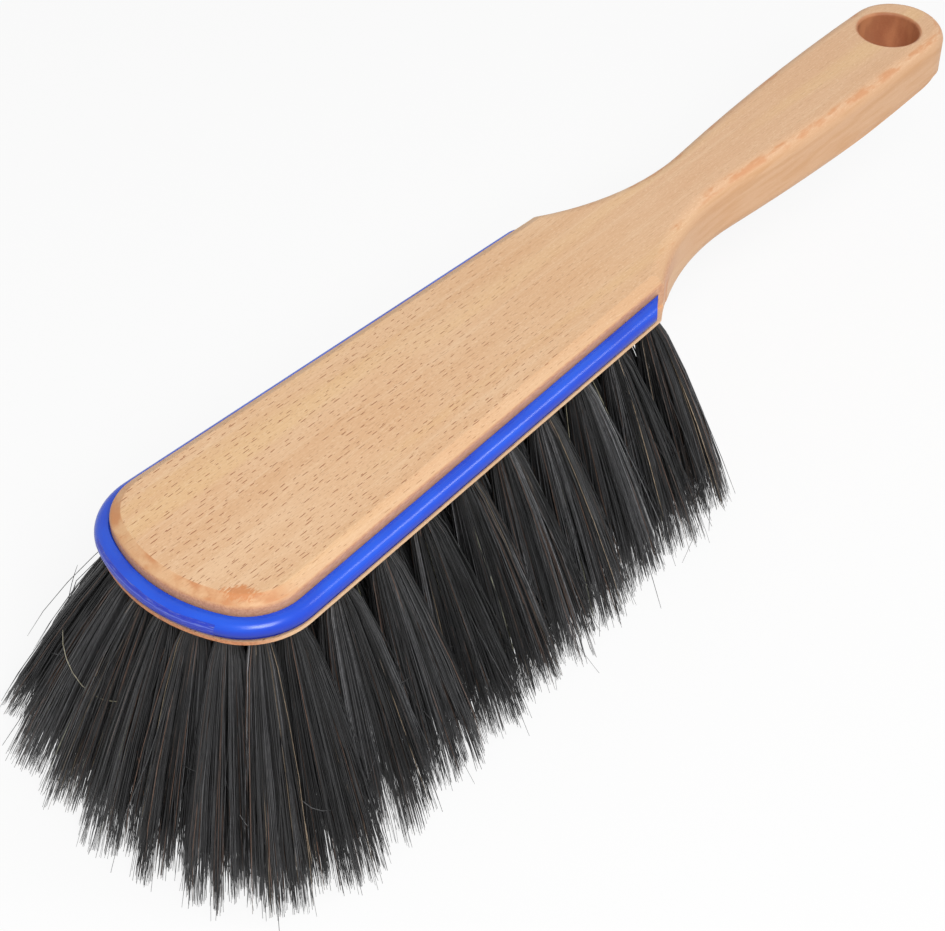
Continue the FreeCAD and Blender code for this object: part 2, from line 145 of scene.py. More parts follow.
class Finish:
    """A material whose nodes are added one by one and wired into its Principled shader."""

    def __init__(self, name):
        self.material = bpy.data.materials.new(name)
        self.material.use_nodes = True
        self.tree = self.material.node_tree
        self.shader = self.tree.nodes["Principled BSDF"]
        coordinates = self.tree.nodes.new("ShaderNodeTexCoord")
        self.place = self.vector("SCALE", coordinates.outputs["Object"], MM)
        self.x, self.y, self.z = self.split(self.place)
        self.normal_x, _, self.normal_z = self.split(coordinates.outputs["Normal"])

    def feed(self, socket, value):
        """Link a socket into another, or set a constant on it."""
        if isinstance(value, bpy.types.NodeSocket):
            self.tree.links.new(value, socket)
        elif isinstance(value, (tuple, list)) and len(value) == 3 and socket.type == "RGBA":
            socket.default_value = (*value, 1.0)
        else:
            socket.default_value = value

    def math(self, operation, first, second=0.0, clamp=False):
        node = self.tree.nodes.new("ShaderNodeMath")
        node.operation = operation
        node.use_clamp = clamp
        self.feed(node.inputs[0], first)
        self.feed(node.inputs[1], second)
        return node.outputs[0]

    def product(self, *factors):
        result = factors[0]
        for factor in factors[1:]:
            result = self.math("MULTIPLY", result, factor)
        return result

    def vector(self, operation, first, second):
        node = self.tree.nodes.new("ShaderNodeVectorMath")
        node.operation = operation
        self.feed(node.inputs[0], first)
        self.feed(node.inputs["Scale"] if operation == "SCALE" else node.inputs[1], second)
        return node.outputs[0]

    def split(self, vector):
        node = self.tree.nodes.new("ShaderNodeSeparateXYZ")
        self.feed(node.inputs[0], vector)
        return node.outputs[0], node.outputs[1], node.outputs[2]

    def join(self, x, y):
        node = self.tree.nodes.new("ShaderNodeCombineXYZ")
        self.feed(node.inputs[0], x)
        self.feed(node.inputs[1], y)
        return node.outputs[0]

    def noise(self, vector, detail=2.0, roughness=0.5):
        node = self.tree.nodes.new("ShaderNodeTexNoise")
        self.feed(node.inputs["Vector"], vector)
        node.inputs["Scale"].default_value = 1.0
        node.inputs["Detail"].default_value = detail
        node.inputs["Roughness"].default_value = roughness
        return node.outputs["Fac"]

    def drawn_out(self, scales, detail=2.0, roughness=0.5):
        """Noise with a scale of its own along x, y and z, each per millimetre."""
        return self.noise(self.vector("MULTIPLY", self.place, scales), detail, roughness)

    def fade(self, value, low, high, start=0.0, end=1.0):
        """A smooth step of value from start at low to end at high."""
        node = self.tree.nodes.new("ShaderNodeMapRange")
        node.interpolation_type = "SMOOTHSTEP"
        for name, number in (("From Min", low), ("From Max", high), ("To Min", start), ("To Max", end)):
            self.feed(node.inputs[name], number)
        self.feed(node.inputs["Value"], value)
        return node.outputs["Result"]

    def mix(self, factor, first, second):
        node = self.tree.nodes.new("ShaderNodeMix")
        node.data_type = "RGBA"
        self.feed(node.inputs[0], factor)
        self.feed(node.inputs[6], first)
        self.feed(node.inputs[7], second)
        return node.outputs[2]

    def layered(self, colour, *layers):
        """A colour under layers, each a mask and its colour, from the lowest up."""
        for mask, tint in layers:
            colour = self.mix(mask, colour, tint)
        return colour

    def spot(self, x, y, length=1.0, width=1.0, angle=0.0):
        """Distance in plan from x, y in millimetres, on a spot that is stretched and turned by angle."""
        step_x = self.math("SUBTRACT", self.x, x)
        step_y = self.math("SUBTRACT", self.y, y)
        turn_x = math.cos(math.radians(angle))
        turn_y = math.sin(math.radians(angle))
        along = self.math("ADD", self.product(step_x, turn_x / length),
                          self.product(step_y, turn_y / length))
        across = self.math("SUBTRACT", self.product(step_y, turn_x / width),
                           self.product(step_x, turn_y / width))
        return self.math("SQRT", self.math("ADD", self.product(along, along), self.product(across, across)))

    def frayed(self, distance, noise, amount):
        """A distance that noise shifts to and fro, which frays the edge of a spot."""
        return self.math("ADD", distance, self.product(self.math("SUBTRACT", noise, 0.5), amount))

    def bump(self, height, depth, strength):
        node = self.tree.nodes.new("ShaderNodeBump")
        node.inputs["Strength"].default_value = strength
        node.inputs["Distance"].default_value = depth
        self.feed(node.inputs["Height"], height)
        self.tree.links.new(node.outputs["Normal"], self.shader.inputs["Normal"])

    def set(self, **inputs):
        """Set inputs of the shader, named in small letters with underscores."""
        for name, value in inputs.items():
            self.feed(self.shader.inputs[name.replace("_", " ").title().replace("Ior", "IOR")], value)


def paint(piece, material):
    """Give a piece one material all over."""
    piece.data.materials.clear()
    piece.data.materials.append(material)


# Beech

# Half length and half width of the large and the small ray flecks, in millimetres
LARGE_FLECK = (1.3, 0.145)
SMALL_FLECK = (0.55, 0.10)
# Distance between small flecks along and across the grain, in millimetres, and their strength
SMALL_FLECK_GRID = (2.3, 0.85)
SMALL_FLECK_STRENGTH = 0.45
# Burn marks: x, y, half length, half width and angle in plan, greatest height, and strength
BURN_MARKS = ((-150.3, -21.0, 4.6, 2.4, -55.0, 90.0, 0.9),
              (22.4, -21.8, 4.0, 1.6, 60.0, 73.5, 0.8))
# Where along the broom one look gives way to the next, in millimetres
HANDLE_BEGINS = (0.0, 60.0)
BURNISH_BEGINS = (15.0, 30.0)
FLECKS_FADE = (-60.0, 30.0)
RAISED_HEAD_ENDS = (40.0, 20.0)
# Where a colour comes in: above the flange, below the top and outside the hole, in millimetres
WALL_RISE = (0.3, 0.8)
BEVEL_DEPTH = (1.0, 2.6)
BORE_RIM = (0.2, 1.3)
# Roughness of the wood, and what its fibres and its end grain add
BEECH_ROUGHNESS = 0.44
FIBRE_ROUGHNESS = 0.16
END_ROUGHNESS = 0.15
# How deep the surface of the wood goes, in metres, and how strongly it shows
BEECH_RELIEF = 0.00007
BEECH_RELIEF_STRENGTH = 0.7


class Beech(Finish):
    """Oiled beech: long streaks, short dark ray flecks, redder end grain and burnished edges."""

    def __init__(self, settings):
        super().__init__("beech")
        self.settings = settings
        sheet = self.math("ADD", self.y, self.z)
        waver = self.noise(self.join(self.product(self.x, 0.012), self.product(sheet, 0.05)), detail=1.0)
        self.across = self.math("ADD", sheet, self.product(waver, 5.0))
        self.fibre = self.grain(0.09, 4.0, 3.0, 0.6)
        self.speckle = self.drawn_out((0.9, 3.2, 3.2), 2.0, 0.6)
        self.grit = self.drawn_out((0.5, 1.8, 1.8), 3.0, 0.7)
        self.handle = self.fade(self.x, *HANDLE_BEGINS)
        self.end_grain = self.fade(self.normal_x, -0.2, -0.8)
        self.end_wall = self.product(self.end_grain, self.fade(self.normal_z, 0.75, 0.35))
        self.fleck = self.flecks()
        colour = self.streaks()
        colour = self.mix(self.fleck, colour, tuple(settings.fleck))
        colour = self.handle_sides(colour)
        colour = self.head_walls(colour)
        colour = self.rubbed_nose(colour)
        colour = self.burnished(colour)
        colour = self.bored(colour)
        self.set(base_color=colour, roughness=self.roughness())
        self.bump(self.relief(), BEECH_RELIEF, BEECH_RELIEF_STRENGTH)

    def grain(self, along, across, detail=2.0, roughness=0.5):
        """Noise drawn out along the grain, with scales per millimetre along and across it."""
        place = self.join(self.product(self.x, along), self.product(self.across, across))
        return self.noise(place, detail, roughness)

    def streaks(self):
        """Plain wood: broad and fine streaks, blotches, dark fibres and pale speckles."""
        broad = self.fade(self.grain(0.006, 0.16, 3.0), 0.3, 0.7)
        blotch = self.drawn_out((0.02, 0.045, 0.045))
        colour = self.mix(broad, tuple(self.settings.light_wood), tuple(self.settings.dark_wood))
        return self.layered(
            colour,
            (self.fade(blotch, 0.35, 0.7, end=0.45), BLOTCH),
            (self.product(self.handle, 0.6), HANDLE_TAN),
            (self.fade(self.grain(0.010, 0.5), 0.50, 0.72, end=0.4), PALE_STREAK),
            (self.fade(self.grain(0.004, 0.07), 0.52, 0.68, end=0.45), HONEY_STREAK),
            (self.fade(self.fibre, 0.42, 0.75, end=0.4), DARK_FIBRE),
            (self.fade(self.speckle, 0.5, 0.75, end=0.45), PALE_SPECKLE))

    def ray_flecks(self, spacing, gap, half_length, half_width):
        """Short dashes along the grain, one in most cells of an uneven grid, as a mask."""
        cell = self.join(self.math("DIVIDE", self.x, spacing), self.math("DIVIDE", self.across, gap))
        cells = self.tree.nodes.new("ShaderNodeTexVoronoi")
        cells.voronoi_dimensions = "2D"
        cells.inputs["Scale"].default_value = 1.0
        cells.inputs["Randomness"].default_value = 0.95
        self.feed(cells.inputs["Vector"], cell)
        strength, length, _ = self.split(cells.outputs["Color"])
        step_x, step_y, _ = self.split(self.vector("SUBTRACT", cell, cells.outputs["Position"]))
        along = self.math("ABSOLUTE", self.product(step_x, spacing))
        beside = self.math("ABSOLUTE", self.product(step_y, gap))
        reach = self.math("ADD", self.product(length, half_length), half_length * 0.35)
        return self.product(self.fade(self.math("DIVIDE", along, reach), 0.45, 1.0, 1.0, 0.0),
                            self.fade(beside, half_width * 0.25, half_width, 1.0, 0.0),
                            self.fade(strength, 0.15, 0.65, 0.1, 1.0))

    def flecks(self):
        """Large and small ray flecks as a mask, faint on the handle and on steep faces."""
        large_grid = (self.settings.fleck_spacing * MM, self.settings.fleck_gap * MM)
        large = self.ray_flecks(*large_grid, *LARGE_FLECK)
        small = self.ray_flecks(*SMALL_FLECK_GRID, *SMALL_FLECK)
        both = self.math("MAXIMUM", large, self.product(small, SMALL_FLECK_STRENGTH))
        flat = self.fade(self.normal_z, 0.75, 0.97)
        shown = self.product(self.fade(self.x, *FLECKS_FADE, 1.0, 0.2), self.fade(flat, 0.0, 1.0, 0.3, 1.0))
        return self.product(both, shown)

    def handle_sides(self, colour):
        """Browner wood with streaks on the sides of the handle."""
        side = self.product(self.fade(self.normal_z, 0.9, 0.3), self.handle)
        streak = self.fade(self.grain(0.035, 0.3, 4.0, 0.6), 0.42, 0.68, end=0.55)
        return self.layered(
            colour,
            (self.product(side, 0.6), SIDE_TAN),
            (self.product(side, streak), SIDE_STREAK))

    def head_walls(self, colour):
        """Redder end grain at the nose, and the bevel and the wall over the strip."""
        gritty = self.fade(self.grit, 0.35, 0.65)
        raised = self.product(self.fade(self.z, *[FLANGE_TOP_MM + rise for rise in WALL_RISE]),
                              self.fade(self.x, *RAISED_HEAD_ENDS))
        bevel = self.product(raised, self.fade(self.normal_z, 0.98, 0.85),
                             self.fade(self.z, *[WOOD_TOP_MM - depth for depth in BEVEL_DEPTH], 0.25, 0.75))
        steep = self.product(raised, self.fade(self.normal_z, 0.7, 0.3, end=0.65))
        return self.layered(
            colour,
            (self.product(self.end_wall, 0.85), self.mix(gritty, *NOSE_WALL)),
            (bevel, BEVEL_TAN),
            (steep, self.mix(gritty, *HEAD_WALL)))

    def rubbed_nose(self, colour):
        """A rubbed reddish band along the bevel of the nose."""
        rubbed = self.drawn_out((0.12, 0.12, 0.3), 3.0, 0.6)
        tilted = self.product(self.fade(self.normal_z, 0.99, 0.93), self.fade(self.normal_z, 0.45, 0.70))
        front = self.fade(self.normal_x, 0.05, -0.25)
        band = self.mix(self.fade(rubbed, 0.35, 0.65), *RUBBED_BAND)
        band = self.mix(self.fade(self.grit, 0.5, 0.75, end=0.5), band, RUBBED_GRIT)
        return self.mix(self.product(tilted, front, self.fade(rubbed, 0.3, 0.65, 0.35, 0.9)), colour, band)

    def burnished(self, colour):
        """Edges of the handle scorched here and there by the cutter, and a few burn marks."""
        burnish = tuple(self.settings.burnish)
        drift = self.drawn_out((0.11, 0.35, 0.35), 3.0, 0.6)
        edge = self.product(self.fade(self.normal_z, 0.995, 0.93), self.fade(self.normal_z, 0.55, 0.80),
                            self.fade(self.x, *BURNISH_BEGINS), self.fade(drift, 0.45, 0.62))
        colour = self.mix(self.product(edge, 0.6), colour, burnish)
        for x, y, length, width, angle, roof, strength in BURN_MARKS:
            distance = self.frayed(self.spot(x, y, length, width, angle), self.grit, 3.0)
            mark = self.product(self.fade(distance, 0.55, 1.05, strength, 0.0),
                                self.fade(self.z, roof, roof - 1.5))
            colour = self.mix(mark, colour, burnish)
        return colour

    def bored(self, colour):
        """The darker wall of the hanging hole, and the underside."""
        hole = self.spot(HOLE_CENTRE_MM[0], HOLE_CENTRE_MM[1])
        bore = self.fade(hole, *[HOLE_RADIUS_MM + rim for rim in BORE_RIM], 1.0, 0.0)
        scorch = self.drawn_out((0.22, 0.22, 0.08))
        return self.layered(
            colour,
            (self.product(bore, 0.85), self.mix(self.fade(scorch, 0.35, 0.65), *BORE_WALL)),
            (self.fade(self.normal_z, -0.3, -0.8, end=0.25), UNDER_TAN))

    def roughness(self):
        rough = self.math("ADD", self.product(self.fibre, FIBRE_ROUGHNESS), BEECH_ROUGHNESS)
        return self.math("ADD", rough, self.product(self.end_wall, END_ROUGHNESS), clamp=True)

    def relief(self):
        relief = self.product(self.math("ADD", self.fibre, self.speckle), 0.5)
        relief = self.math("SUBTRACT", relief, self.fleck)
        return self.math("ADD", relief, self.product(self.end_grain, self.grit))


# Plastic, wire and hair

# How deep the surface of the plastic goes, in metres, and how strongly it shows
PLASTIC_RELIEF = 0.00012
PLASTIC_RELIEF_STRENGTH = 0.6
# Roughness of the plastic, and what its worn front and its drawing lines add
PLASTIC_ROUGHNESS = 0.21
WORN_ROUGHNESS = 0.12
LINE_ROUGHNESS = 0.10
# Worn front of the nose: where it ends behind the nose, to the left and to the right, in millimetres
WORN_BACK = (14.0, 12.0)
WORN_LEFT = (-20.6, -20.2)
WORN_RIGHT = (24.0, 22.5)
# Its top, and the top and foot of its bright rim, as shares of the strip's height
WORN_TOP = (0.94, 0.90)
RIM_TOP = (0.77, 0.75)
RIM_FOOT = (0.69, 0.72)
# Grey scuff on the strip: millimetres behind the nose, y, half length, half width and angle in plan
SCUFF = (9.0, -17.5, 2.6, 1.2, -60.0)
# Name of the material that all the hairs share, and its index of refraction
HAIR_MATERIAL = "combed_horsehair"
HAIR_IOR = 1.55


def strip_levels(shares):
    """Heights in millimetres at shares of the strip's height."""
    return [FLANGE_TOP_MM + share * STRIP_HEIGHT_MM for share in shares]


def bumper_finish(settings):
    """Glossy extruded plastic with faint drawing lines, scuffed flat on the front of the nose, with painted
    shade that darkens its sides and underside.
    """
    blue = Finish("blue_plastic")
    cloud = blue.fade(blue.drawn_out((0.05, 0.05, 0.3)), 0.35, 0.65)
    lines = blue.drawn_out((0.01, 0.01, 2.6))
    scratch = blue.drawn_out((0.25, 0.22, 6.0), 4.0, 0.7)
    uneven = blue.product(blue.drawn_out((0.15, 0.15, 0.15)), 0.8)
    height = blue.math("ADD", blue.z, uneven)
    worn = blue.product(blue.fade(blue.x, *[NOSE_X_MM + back for back in WORN_BACK]),
                        blue.fade(blue.normal_x, -0.05, -0.25),
                        blue.fade(height, *strip_levels(WORN_TOP)),
                        blue.fade(blue.y, *WORN_LEFT),
                        blue.fade(blue.y, *WORN_RIGHT))
    rim = blue.product(worn, blue.fade(height, *strip_levels(RIM_TOP)),
                       blue.fade(height, *strip_levels(RIM_FOOT)))
    behind, beside, *form = SCUFF
    scuff = blue.frayed(blue.spot(NOSE_X_MM + behind, beside, *form), scratch, 2.5)
    colour = blue.layered(
        blue.mix(cloud, tuple(settings.colour), tuple(settings.deep_colour)),
        # Painted shade: the blue darkens as the faces turn sideways, and darker still as they turn down
        (blue.fade(blue.normal_z, 0.75, 0.15, end=0.75), PAINTED_SHADE_BLUE_SIDE),
        (blue.fade(blue.normal_z, 0.3, -0.4, end=0.9), PAINTED_SHADE_BLUE_UNDER),
        (blue.product(worn, 0.9), WORN_BLUE),
        (blue.product(worn, blue.fade(scratch, 0.54, 0.66, end=0.8)), PALE_SCRATCH),
        (blue.product(worn, blue.fade(scratch, 0.44, 0.32, end=0.6)), DARK_SCRATCH),
        (blue.product(rim, 0.5), WORN_RIM),
        (blue.product(worn, blue.fade(scuff, 0.5, 1.1, 0.7, 0.0)), SCUFF_GREY))
    rough = blue.math("ADD", blue.product(worn, WORN_ROUGHNESS), blue.product(lines, LINE_ROUGHNESS))
    blue.set(base_color=colour, roughness=blue.math("ADD", rough, PLASTIC_ROUGHNESS, clamp=True))
    scratched = blue.product(worn, blue.math("SUBTRACT", scratch, 1.6))
    relief = blue.math("ADD", blue.product(lines, 0.12), scratched)
    blue.bump(relief, PLASTIC_RELIEF, PLASTIC_RELIEF_STRENGTH)
    return blue.material


def wire_finish(settings):
    """Drawn steel wire with fine lines along it."""
    wire = Finish("anchor_wire")
    lines = wire.drawn_out((6.0, 6.0, 0.4), 3.0)
    colour = wire.mix(lines, tuple(settings.colour), DARK_WIRE)
    wire.set(base_color=colour, metallic=1.0, roughness=wire.fade(lines, 0.2, 0.8, 0.25, 0.45))
    return wire.material


def hair_finish(settings):
    """Horsehair: the tone of every hair is painted on it, with a soft silvery sheen."""
    hair = Finish(HAIR_MATERIAL)
    tone = hair.tree.nodes.new("ShaderNodeAttribute")
    tone.attribute_name = "hair_tone"
    mottle = hair.fade(hair.drawn_out((1.2, 1.2, 0.25)), 0.4, 0.7, end=0.4)
    colour = hair.mix(mottle, tone.outputs["Color"], DEEP_BLACK)
    hair.set(base_color=colour, roughness=settings.roughness, ior=HAIR_IOR)
    return hair.material


# Horsehair: a pair of numbers under "from and to" is a range that each hair or lock draws from

# Distance up to which points count as part of a tuft's flat ends, at the tips and at the root, in metres
TIP_NEAR = 1e-5
ROOT_NEAR = 1e-4
# Rounds in which the axis of a tuft is found
AXIS_ROUNDS = 6
# Depth of a tuft's root in its hole, in metres
ROOT_DEPTH = 0.0097
# Share of the hole's radius that the roots fill
ROOT_FILL = 0.96
# Turn from one hair to the next over the round root, which spreads them evenly
GOLDEN_TURN = math.pi * (3 - math.sqrt(5))
# How far evenly spread points lie off their places, times the root of their number
DISC_SCATTER = 0.8
# Places along a hair, from inside the hole over its mouth at 0 to the tip at 1
STATIONS = np.array([-0.09, 0.0, 0.10, 0.28, 0.50, 0.75, 1.0])
# How far locks are drawn to the middle of their clump, and hairs to that of their lock, from and to
CLUMP_DRAW = (0.0, 0.6)
LOCK_PULL = (0.45, 0.97)
# How far single hairs lie off their places
HAIR_SCATTER = 0.05
# How much farther stray hairs spread and wave than the others, from and to
STRAY_SPREAD = (1.0, 1.3)
STRAY_WAVE = (3.0, 7.0)
# Half waves along a hair, from and to
HALF_WAVES = (0.6, 1.6)
# Height of the lowest tips over the floor, and how much higher short hairs end, from and to, in millimetres
LOWEST_TIP_MM = 0.2
SHORT_BY_MM = (2.0, 16.0)
# How ragged single hairs end, against the clumps
SINGLE_RAGGED = 0.2

# Loose curls: points along one, and the share of it that is straight
CURL_POINTS = 15
CURL_STRAIGHT = 0.25
# Share of the hole's radius at which a curl starts
CURL_ROOT = 0.9
# Cosine below which the long axis of the tips counts as sideways to the tuft's lean
CURL_ASIDE = 0.7
# Where a curl's hook starts on the way to the tips, from and to, and how far out from their middle it
# heads, from and to, in short half axes of the tips
CURL_START = (0.25, 0.6)
CURL_OUTSIDE = (0.4, 0.9)
# Radius of the hook in metres and its turn in radians, from and to, and its greatest length in metres
CURL_RADIUS = (0.006, 0.022)
CURL_TURN = (0.6, 3.2)
CURL_LENGTH = 0.045
# How far a hook drifts outwards, and its lowest height over the floor, in metres
CURL_DRIFT = 0.004
CURL_LOWEST = 0.0004

# Sides of the thin tube that is a hair
SIDES = 3
# Its thickness against the usual one, from and to
THICKNESS = (0.8, 1.25)
# Share of that thickness just before the tip and at the tip
TAPER = (0.9, 0.45)
# A hair's cell of the map: margin and step across it, and margin and length along it
CELL_SIDE = 0.2
CELL_STEP = 0.3
CELL_FOOT = 0.1
CELL_LENGTH = 0.8
# Shade of brown and pale hairs, from and to
ODD_SHADE = (0.35, 1.5)
# Darkest and lightest tone, and the share of a hair's tone at its root and at its tip
TONE_LIMITS = (0.004, 0.5)
TONE_ALONG = (0.9, 1.2)


class Tuft:
    """The place of a tuft, read from its solid: its mouth, its axis and the oval of its tips."""

    def __init__(self, node):
        solid = NODES[node]
        points = np.empty(len(solid.data.vertices) * 3)
        solid.data.vertices.foreach_get("co", points)
        points = points.reshape(-1, 3)
        self.find_tips(points)
        self.find_mouth(points)
        lean = (self.tip - self.mouth) * (1.0, 1.0, 0.0)
        self.lean = lean / max(np.linalg.norm(lean), 1e-6)

    def find_tips(self, points):
        """The middle of the lowest face and its long and short half axes."""
        tips = points[points[:, 2] < points[:, 2].min() + TIP_NEAR]
        self.tip = (tips.min(0) + tips.max(0)) / 2
        reach = np.linalg.norm(tips - self.tip, axis=1)
        self.long_half = reach.max()
        self.long = (tips[reach.argmax()] - self.tip) / self.long_half
        self.short = np.cross((0.0, 0.0, 1.0), self.long)
        half = (tips.max(0) - tips.min(0)) / 2
        self.short_half = math.sqrt(max(half[0] ** 2 + half[1] ** 2 - self.long_half ** 2, 1e-8))

    def find_mouth(self, points):
        """The axis from the root's middle, found in a few rounds, and the hole's mouth on it."""
        root = points[points[:, 2].argmax()]
        for _ in range(AXIS_ROUNDS):
            self.axis = (self.tip - root) / np.linalg.norm(self.tip - root)
            depth = points @ self.axis
            ring = points[depth < depth.min() + ROOT_NEAR]
            first = np.cross(self.axis, (1.0, 0.0, 0.0))
            first /= np.linalg.norm(first)
            second = np.cross(self.axis, first)
            spans = [(ring @ way).min() / 2 + (ring @ way).max() / 2 for way in (first, second)]
            root = self.axis * depth.min() + first * spans[0] + second * spans[1]
        self.mouth = root + self.axis * ROOT_DEPTH
        self.radius = np.linalg.norm(ring - root, axis=1).max()
        self.root_long = self.long - self.axis * (self.long @ self.axis)
        self.root_long /= np.linalg.norm(self.root_long)
        self.root_short = np.cross(self.axis, self.root_long)
        if self.root_short @ self.short < 0:
            self.root_short = -self.root_short


def even_disc(count, random):
    """Points spread evenly over a disc of radius 1, each a little off its place."""
    number = np.arange(count) + 0.5
    ring = np.sqrt(number / count)
    turn = number * GOLDEN_TURN + random.uniform(0, 2 * math.pi)
    scatter = random.normal(0, DISC_SCATTER, (count, 2)) / math.sqrt(count)
    return np.stack([ring * np.cos(turn), ring * np.sin(turn)], 1) + scatter


def nearest(points, others):
    """For each of the points, the number of the nearest of the others."""
    return np.linalg.norm(points[:, None] - others[None], axis=2).argmin(1)


def strand_paths(tuft, count, fullness, splay, settings, random):
    """The curves of a tuft's hairs from inside the hole to the tips, in locks and clumps, with strays."""
    disc = even_disc(count, random)
    clump_middles = even_disc(settings.clumps, random)
    lock_middles = even_disc(settings.locks, random)
    lock_clump = nearest(lock_middles, clump_middles)
    lock = nearest(disc, lock_middles)
    clump = lock_clump[lock]
    draw = random.uniform(*CLUMP_DRAW, settings.locks)[:, None]
    lock_middles = lock_middles * (1 - draw) + clump_middles[lock_clump] * draw
    pull = random.uniform(*LOCK_PULL, count)[:, None]
    spread = disc * (1 - pull) + lock_middles[lock] * pull
    spread += random.normal(0, HAIR_SCATTER, disc.shape)
    spread *= fullness

    stray = random.random(count) < settings.stray_share
    spread[stray] *= random.uniform(*STRAY_SPREAD, (stray.sum(), 1))
    ragged = settings.ragged * MM
    level = random.uniform(LOWEST_TIP_MM, ragged, settings.clumps)[clump]
    level += random.exponential(ragged * SINGLE_RAGGED, count)
    short = random.random(count) < settings.short_share
    level[short] += random.uniform(*SHORT_BY_MM, short.sum())
    level = np.maximum(level, LOWEST_TIP_MM) / MM

    start = tuft.radius * ROOT_FILL * (disc[:, :1] * tuft.root_long + disc[:, 1:] * tuft.root_short)
    fan = tuft.long_half * spread[:, :1] * tuft.long + tuft.short_half * spread[:, 1:] * tuft.short
    middle = tuft.tip - tuft.mouth
    paths = np.empty((count, len(STATIONS), 3))
    wave = random.normal(0, 1.0, (count, 2)) * settings.wave
    wave[stray] *= random.uniform(*STRAY_WAVE, (stray.sum(), 1))
    phase = random.uniform(0, 2 * math.pi, count)
    bends = random.uniform(*HALF_WAVES, count)
    for step, t in enumerate(STATIONS):
        if t <= 0:
            paths[:, step] = tuft.mouth + start + tuft.axis * (t * np.linalg.norm(middle))
            continue
        open_up = t ** splay
        paths[:, step] = tuft.mouth + middle * t + start * (1 - open_up) + fan * open_up
        paths[:, step] += tuft.lean * (settings.droop * 4 * t * (1 - t))
        swing = np.sin(phase + bends * math.pi * t) - np.sin(phase) * (1 - t)
        paths[:, step, :2] += wave * (swing * t)[:, None]
    ends = paths[:, -1].copy()
    before = paths[:, -2]
    share = (before[:, 2] - level) / (before[:, 2] - ends[:, 2])
    paths[:, -1] = before + (ends - before) * share[:, None]
    return paths, lock


def curl_paths(tuft, count, random):
    """The curves of a few long loose hairs that leave the outside of a tuft and hook sideways."""
    stations = np.linspace(0, 1, CURL_POINTS)
    paths = np.empty((count, len(stations), 3))
    sideways = tuft.long if abs(tuft.long @ tuft.lean) < CURL_ASIDE else tuft.short
    root = tuft.mouth + tuft.lean * tuft.radius * CURL_ROOT
    for hair in range(count):
        along = random.choice((-1.0, 1.0)) * sideways
        leave = random.uniform(*CURL_START)
        outside = tuft.tip + tuft.lean * random.uniform(*CURL_OUTSIDE) * tuft.short_half
        bend = root + (outside - root) * leave
        ahead = (bend - root) / np.linalg.norm(bend - root)
        side = along - ahead * (along @ ahead)
        side /= np.linalg.norm(side)
        radius = random.uniform(*CURL_RADIUS)
        swing = min(random.uniform(*CURL_TURN), CURL_LENGTH / radius)
        for step, t in enumerate(stations):
            if t < CURL_STRAIGHT:
                paths[hair, step] = root + (bend - root) * (t / CURL_STRAIGHT)
                continue
            hooked = t - CURL_STRAIGHT
            angle = swing * hooked / (1 - CURL_STRAIGHT)
            paths[hair, step] = bend + radius * (math.sin(angle) * ahead + (1 - math.cos(angle)) * side)
            paths[hair, step] += tuft.lean * CURL_DRIFT * hooked
    paths[:, :, 2] = np.maximum(paths[:, :, 2], CURL_LOWEST)
    return paths


def strand_tones(count, stations, lock, settings, random):
    """The tone of every hair: near black, lighter and darker by lock and by hair, some brown or pale; the
    lighter locks are partly painted sheen.
    """
    # Lighter and darker locks: partly the hair's own tones, partly painted sheen that stands in for light
    # caught by the locks
    shade = random.normal(0, settings.lock_tone_and_sheen, lock.max() + 1)[lock]
    shade += random.normal(0, settings.hair_contrast, count)
    tones = np.array(settings.black)[None] * np.exp(shade)[:, None]
    for share, tone in ((settings.brown_share, settings.brown), (settings.pale_share, settings.pale)):
        chosen = random.random(count) < share
        tones[chosen] = np.array(tone) * random.uniform(*ODD_SHADE, (chosen.sum(), 1))
    tones = np.clip(tones, *TONE_LIMITS)
    along = np.linspace(*TONE_ALONG, stations)
    return tones[:, None, :] * along[None, :, None]


def tube_points(paths, radii):
    """The corners of thin tubes along the paths."""
    count, stations, _ = paths.shape
    along = np.gradient(paths, axis=1)
    along /= np.linalg.norm(along, axis=2, keepdims=True)
    side = np.empty_like(paths)
    turned = np.arange(count) * GOLDEN_TURN
    ahead = np.stack([np.cos(turned), np.sin(turned), np.zeros(count)], 1)
    for step in range(stations):
        ahead = ahead - along[:, step] * (ahead * along[:, step]).sum(1, keepdims=True)
        ahead = ahead / np.linalg.norm(ahead, axis=1, keepdims=True)
        side[:, step] = ahead
    other = np.cross(along, side)
    angles = np.arange(SIDES) * 2 * math.pi / SIDES
    rim = side[:, :, None] * np.cos(angles)[:, None] + other[:, :, None] * np.sin(angles)[:, None]
    return paths[:, :, None] + rim * radii[:, :, None, None]


def tube_faces(count, stations):
    """The four-sided walls and the flat ends of such tubes, as corner numbers."""
    base = np.arange(count)[:, None] * stations * SIDES
    low = base[:, :, None] + (np.arange(stations - 1) * SIDES)[None, :, None]
    corner = np.arange(SIDES)[None, None, :]
    following = (corner + 1) % SIDES
    high = low + SIDES
    walls = np.broadcast_arrays(low + corner, low + following, high + following, high + corner)
    last = base + (stations - 1) * SIDES
    ends = np.concatenate([base + np.arange(SIDES)[::-1], last + np.arange(SIDES)])
    return np.stack(walls, -1).reshape(-1, 4), ends


